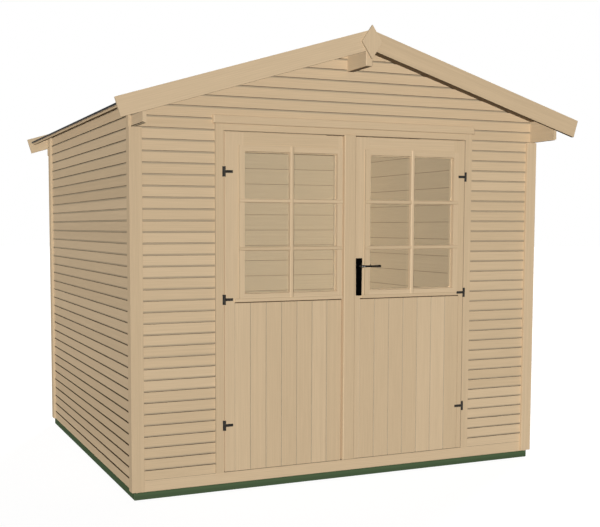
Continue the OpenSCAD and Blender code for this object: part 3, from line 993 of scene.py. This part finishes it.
def framed(bm, inner_low, inner_high):
    """Cuts a frame at its joints: uprights beside the opening, level members between them."""
    for x in (inner_low.x, inner_high.x):
        cut_across(bm, (x, 0, 0), AXES["x"])
    grain_layers(bm)
    members = {"left": [], "right": [], "top": [], "bottom": []}
    middle = (inner_low + inner_high) / 2
    for face in bm.faces:
        centre = face.calc_center_median()
        if centre.x < inner_low.x:
            members["left"].append(face)
        elif centre.x > inner_high.x:
            members["right"].append(face)
        else:
            members["top" if centre.z > middle.z else "bottom"].append(face)
    for name, faces in members.items():
        set_grain(bm, AXES["z" if name in SIDES else "x"], faces)
    return bm


print("flat faces join up below", round(math.degrees(FLAT_ANGLE)), "degree")

# %% Leaf frames and boards
LEAF_EDGE = 0.8 * MM
DOOR_BOARDS = 7
DOOR_BOARD_EDGE = 2.5 * MM
BOARD_TOP_H = 6 * MM
BOARD_TOP_DEPTH = 10 * MM


def door_board(low, high):
    """An upright board with eased sides and a sloped top."""
    bm = box_mesh(low, high)
    slope_z = high.z - BOARD_TOP_H
    cut_across(bm, (0, 0, slope_z), UP)
    for vert in bm.verts:
        if vert.co.z > slope_z + NEAR and vert.co.y < low.y + NEAR:
            vert.co.y += BOARD_TOP_DEPTH

    def on_slope(face):
        return face.calc_center_median().z > slope_z and face.normal.y < -SLANTED

    ease(bm, DOOR_BOARD_EDGE, [edge for edge in edges_at(bm, "y", low.y) if runs_along(edge, UP)])
    set_grain(bm, AXES["z"])
    # Painted shade on the eased side facets, and deep painted shade on the sloped top.
    set_tone(bm, GROOVE_SHADE_TONE, lambda face: -SQUARE_ON < face.normal.y < -SLANTED)
    return set_tone(bm, DEEP_SHADE_TONE, on_slope)


for side in SIDES:
    leaf = copied(side + "_door_frame")
    ease(leaf, LEAF_EDGE)
    framed(leaf, *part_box(side + "_window_glass"))
    piece(side + "_leaf_frame", [leaf], door_timber, side + "_door", "door_timber", side + "_door_frame")
    low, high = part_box(side + "_door_boards")
    top_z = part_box(side + "_weather_bar")[0].z
    boards = [door_board(Vector((start, low.y, low.z)), Vector((end, high.y, top_z)))
        for start, end in steps(low.x, high.x, (high.x - low.x) / DOOR_BOARDS)]
    piece(side + "_leaf_boards", boards, door_timber, side + "_door", "door_timber", side + "_door_boards")

# %% [markdown]
# ## Windows in the doors
# Each window is one pane held by a bead. Slim bars lie over the bead and divide the view into two by three
# lights, the level ones a little below the thirds. A real bar is a moulding with wide chamfers, which catch
# the light on one side and stay dark on the other, so each one is a box with its two long front edges
# bevelled. The pane keeps its solid, which is already a flat sheet, and only gets glass. It casts no shadow
# and scattered light passes it by, because clear glass lets the light on to the frame behind it.

# %% Beads, bars and panes
BEAD_ROUND = 0.5 * MM
BAR_W = 22 * MM
BAR_PROUD = 4 * MM
BAR_STEP = 1 * MM
BAR_CHAMFER = 5 * MM
BAR_ROWS = 3
BAR_DROP = 10 * MM


def window_bar(low, high, along):
    """A bar with its long front edges chamfered."""
    bm = box_mesh(low, high)
    front = [edge for edge in edges_at(bm, "y", low[1]) if runs_along(edge, AXES[along])]
    ease(bm, BAR_CHAMFER, front)
    return set_grain(bm, AXES[along])


def window_bars(bead_low, bead_high, glass_low, glass_high):
    """One upright bar over the middle of the pane, and level ones a step behind its face."""
    face_y = bead_low.y - BAR_PROUD
    middle_x = (glass_low.x + glass_high.x) / 2
    bars = [window_bar((middle_x - BAR_W / 2, face_y, bead_low.z),
        (middle_x + BAR_W / 2, glass_low.y, bead_high.z), "z")]
    for row in range(1, BAR_ROWS):
        z = glass_low.z + row * (glass_high.z - glass_low.z) / BAR_ROWS - BAR_DROP
        bars.append(window_bar((bead_low.x, face_y + BAR_STEP, z - BAR_W / 2),
            (bead_high.x, glass_low.y, z + BAR_W / 2), "x"))
    return bars


def finish_solid(node, material):
    """Leaves a solid's mesh as it is and gives it a finish."""
    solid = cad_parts[node]
    solid.data.materials.clear()
    solid.data.materials.append(material)
    return solid


for side in SIDES:
    node = side + "_window_bead"
    bead_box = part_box(node)
    glass_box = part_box(side + "_window_glass")
    bead = copied(node)
    ease(bead, BEAD_ROUND, [edge for edge in edges_at(bead, "y", bead_box[0].y) if sharp(edge)], 2)
    framed(bead, *glass_box)
    # Painted shade on the bead's outer sides.
    piece(side + "_glazing_bead", [shaded_sides(bead)], door_timber, side + "_door", "door_timber", node)
    bars = window_bars(*bead_box, *glass_box)
    piece(side + "_window_bars", bars, door_timber, side + "_door", "door_timber")
    pane = finish_solid(side + "_window_glass", clear_glass)
    pane.visible_shadow = False
    pane.visible_diffuse = False

# %% [markdown]
# ## Drip bars and the meeting strip
# Under each window a drip bar with a rounded upper edge throws the rain off the boards. Where the leaves
# meet, a strip on the right leaf covers the gap. At its top a thinner tongue runs up in front of the door
# head. It could be a second board. Here the strip's top face is extruded, so that both stay one piece of
# wood.

# %% Drip bars
DRIP_ROUND = 2 * MM

for side in SIDES:
    node = side + "_weather_bar"
    low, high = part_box(node)
    bar = box_mesh(low, high)
    upper = edges_at(bar, "z", high.z)
    ease(bar, DRIP_ROUND, [edge for edge in edges_at(bar, "y", low.y) if edge in upper], 2)
    set_grain(bar, AXES["x"])
    piece(side + "_drip_bar", [bar], door_timber, side + "_door", "door_timber", node)

# %% Meeting strip
STRIP_ROUND = 5 * MM
STRIP_CLEAR = 5 * MM
STRIP_OVER = 3 * MM

low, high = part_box("meeting_strip")
strip = box_mesh(low, high)
top = max(strip.faces, key=lambda face: face.calc_center_median().z)
tongue = bmesh.ops.extrude_discrete_faces(strip, faces=[top])["faces"][0]
for vert in tongue.verts:
    vert.co.z = head_low.z + STRIP_OVER
    vert.co.y = min(vert.co.y, high.y - STRIP_CLEAR)
bmesh.ops.recalc_face_normals(strip, faces=strip.faces[:])
ease(strip, STRIP_ROUND, edges_at(strip, "y", low.y), 2)
set_grain(strip, AXES["z"])
piece("door_meeting_strip", [strip], door_timber, "right_door", "door_timber", "meeting_strip")

# %% [markdown]
# ## Hinges and handle
# The doors hang on tee hinges. The straps on the leaves are already right as solids, so they keep their
# meshes and get the iron finish. The plates on the casings are slimmer than their solids, so a merged copy
# is sawn narrower on its outer side, and its knuckles and pins stay. A screw head is a low cone with a
# socket pressed into it: its top face is inset and pushed down.

# %% Hinge plates and screws
HINGE_TRIM = 5 * MM
STRAP_T = 3 * MM
SCREW_R, SCREW_TOP_R = 3 * MM, 2.1 * MM
SCREW_H = 1.1 * MM
SCREW_SINK = 0.1 * MM
SOCKET_RIM, SOCKET_DEPTH = 0.9 * MM, 0.6 * MM
SCREW_IN, SCREW_FROM_END = 8 * MM, 9 * MM
STRAP_SCREWS = (9 * MM, 27 * MM)


def screw(x, face_y, z):
    """A screw head on a face that looks to the front."""
    place = Matrix.Translation((x, face_y - SCREW_H / 2 + SCREW_SINK, z))
    bm = cone(12, SCREW_R, SCREW_TOP_R, SCREW_H, place @ FACE_FRONT)
    top = min(bm.faces, key=lambda face: face.calc_center_median().y)
    bmesh.ops.inset_region(bm, faces=[top], thickness=SOCKET_RIM, depth=0)
    bmesh.ops.translate(bm, vec=(0, SOCKET_DEPTH, 0), verts=top.verts[:])
    return bm


low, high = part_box("hinge_plates")
slim_plates = copied("hinge_plates")
cut_away(slim_plates, (low.x + HINGE_TRIM, 0, 0), OUTWARD["left"])
cut_away(slim_plates, (high.x - HINGE_TRIM, 0, 0), OUTWARD["right"])
piece("hinge_leaf_plates", [slim_plates], hinge_iron, "root", "black_iron", "hinge_plates")

iron_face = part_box("right_door_frame")[0].y - STRAP_T
plate_screws = []
for low, high in solid_boxes("hinge_plates"):
    x = low.x + SCREW_IN if low.x < 0 else high.x - SCREW_IN
    for z in (low.z + SCREW_FROM_END, high.z - SCREW_FROM_END):
        plate_screws.append(screw(x, iron_face, z))
piece("hinge_plate_screws", plate_screws, hinge_iron, "root", "black_iron")

for side in SIDES:
    node = side + "_hinge_straps"
    strap_screws = []
    for low, high in solid_boxes(node):
        tip_x = high.x if side == "left" else low.x
        for from_tip in STRAP_SCREWS:
            strap_screws.append(screw(tip_x + OUTWARD[side].x * from_tip, iron_face, (low.z + high.z) / 2))
    piece(side + "_strap_screws", strap_screws, hinge_iron, side + "_door", "black_iron")
    finish_solid(node, hinge_iron)

# %% [markdown]
# The lever handle stands on a long plate that narrows towards the bottom, outside and inside. The plate is
# a box whose lower end is drawn in before its corners are rounded. The lever is one bar, bent from a round
# neck into a flattened, well rounded grip. The bend could be a curve with a thickness. Here a circle is
# spun through a quarter turn. A keyhole sits under the lever.

# %% Handle plates
PLATE_TAPER = 0.87
PLATE_ROUND = 2.5 * MM
PLATE_EDGE = 1.6 * MM

plates = []
plate_boxes = solid_boxes("handle_plates")
plate_x = (plate_boxes[0][0].x + plate_boxes[0][1].x) / 2
for low, high in plate_boxes:
    plate = box_mesh(low, high)
    for vert in plate.verts:
        if vert.co.z < (low.z + high.z) / 2:
            vert.co.x = plate_x + (vert.co.x - plate_x) * PLATE_TAPER
    ease(plate, PLATE_ROUND, [edge for edge in plate.edges if runs_along(edge, AXES["y"])], 4)
    ease(plate, PLATE_EDGE, segments=2)
    plates.append(plate)
piece("handle_back_plates", plates, black_iron, "right_door", "black_iron", "handle_plates")

# %% Neck, bend and grip
BEND_R = 11 * MM
ELBOW_R = 7 * MM
GRIP_HALF_H = 7 * MM
GRIP_ROUND = 5 * MM
WAIST = {0.15: 0.80, 0.4: 0.72, 0.7: 0.78}
lever_low, lever_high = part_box("handle_lever")
spindle_z = (lever_low.z + lever_high.z) / 2


def round_bar(z, start_y, end_y, radius, edge):
    """A round bar from front to back through the plates, with its ends eased."""
    place = Matrix.Translation((plate_x, (start_y + end_y) / 2, z))
    bm = cone(28, radius, radius, abs(end_y - start_y), place @ FACE_FRONT)
    ease(bm, edge, [rim for rim in bm.edges if not runs_along(rim, AXES["y"])], 2)
    return bm


def elbow(start_y, turn):
    """A quarter bend that leads the neck into a grip."""
    bm = bmesh.new()
    place = Matrix.Translation((plate_x, start_y, spindle_z))
    bmesh.ops.create_circle(bm, segments=20, radius=ELBOW_R, matrix=place @ FACE_FRONT)
    bmesh.ops.spin(bm, geom=bm.verts[:] + bm.edges[:], cent=(plate_x + BEND_R, start_y, spindle_z),
        axis=AXES["z"], angle=math.radians(90 * turn), steps=10, use_merge=False)
    for face in bm.faces:
        face.smooth = True
    bmesh.ops.holes_fill(bm, edges=[edge for edge in bm.edges if edge.is_boundary], sides=0)
    bmesh.ops.recalc_face_normals(bm, faces=bm.faces[:])
    return bm


def grip(start_y, end_y):
    """The flattened bar of the lever, waisted and rounded all over."""
    bm = box_mesh((plate_x + BEND_R / 2, start_y, spindle_z - GRIP_HALF_H),
        (lever_high.x, end_y, spindle_z + GRIP_HALF_H))
    widths = {plate_x + share * (lever_high.x - plate_x): width for share, width in WAIST.items()}
    for x in widths:
        cut_across(bm, (x, 0, 0), AXES["x"])
    for x, width in widths.items():
        for vert in bm.verts:
            if abs(vert.co.x - x) < NEAR:
                vert.co.z = spindle_z + (vert.co.z - spindle_z) * width
    ease(bm, GRIP_ROUND, segments=4)
    return bm


print("spindle height:", round(spindle_z, 3), "m")

# %% Lever, collars and keyholes
NECK_R, NECK_EDGE = 8 * MM, 1 * MM
GRIP_T = 15 * MM
COLLAR_R, COLLAR_T, COLLAR_EDGE = 12 * MM, 4 * MM, 1 * MM
KEYHOLE_R, KEYHOLE_T, KEYHOLE_EDGE = 4.5 * MM, 1.2 * MM, 0.5 * MM
KEYHOLE_DROP = 85 * MM

front_bend = lever_low.y + GRIP_T / 2 + BEND_R
back_bend = lever_high.y - GRIP_T / 2 - BEND_R
lever = [round_bar(spindle_z, front_bend, back_bend, NECK_R, NECK_EDGE),
    elbow(front_bend, 1), elbow(back_bend, -1),
    grip(lever_low.y, lever_low.y + GRIP_T), grip(lever_high.y - GRIP_T, lever_high.y)]
piece("door_lever", lever, lever_iron, "handle", "black_iron", "handle_lever")

fittings = []
for face_y, out in ((plate_boxes[0][0].y, -1), (plate_boxes[1][1].y, 1)):
    collar_y = face_y + out * COLLAR_T
    fittings.append(round_bar(spindle_z, face_y, collar_y, COLLAR_R, COLLAR_EDGE))
    keyhole_y = face_y + out * KEYHOLE_T
    fittings.append(round_bar(spindle_z - KEYHOLE_DROP, face_y, keyhole_y, KEYHOLE_R, KEYHOLE_EDGE))
piece("handle_collars", fittings, black_iron, "right_door", "black_iron")
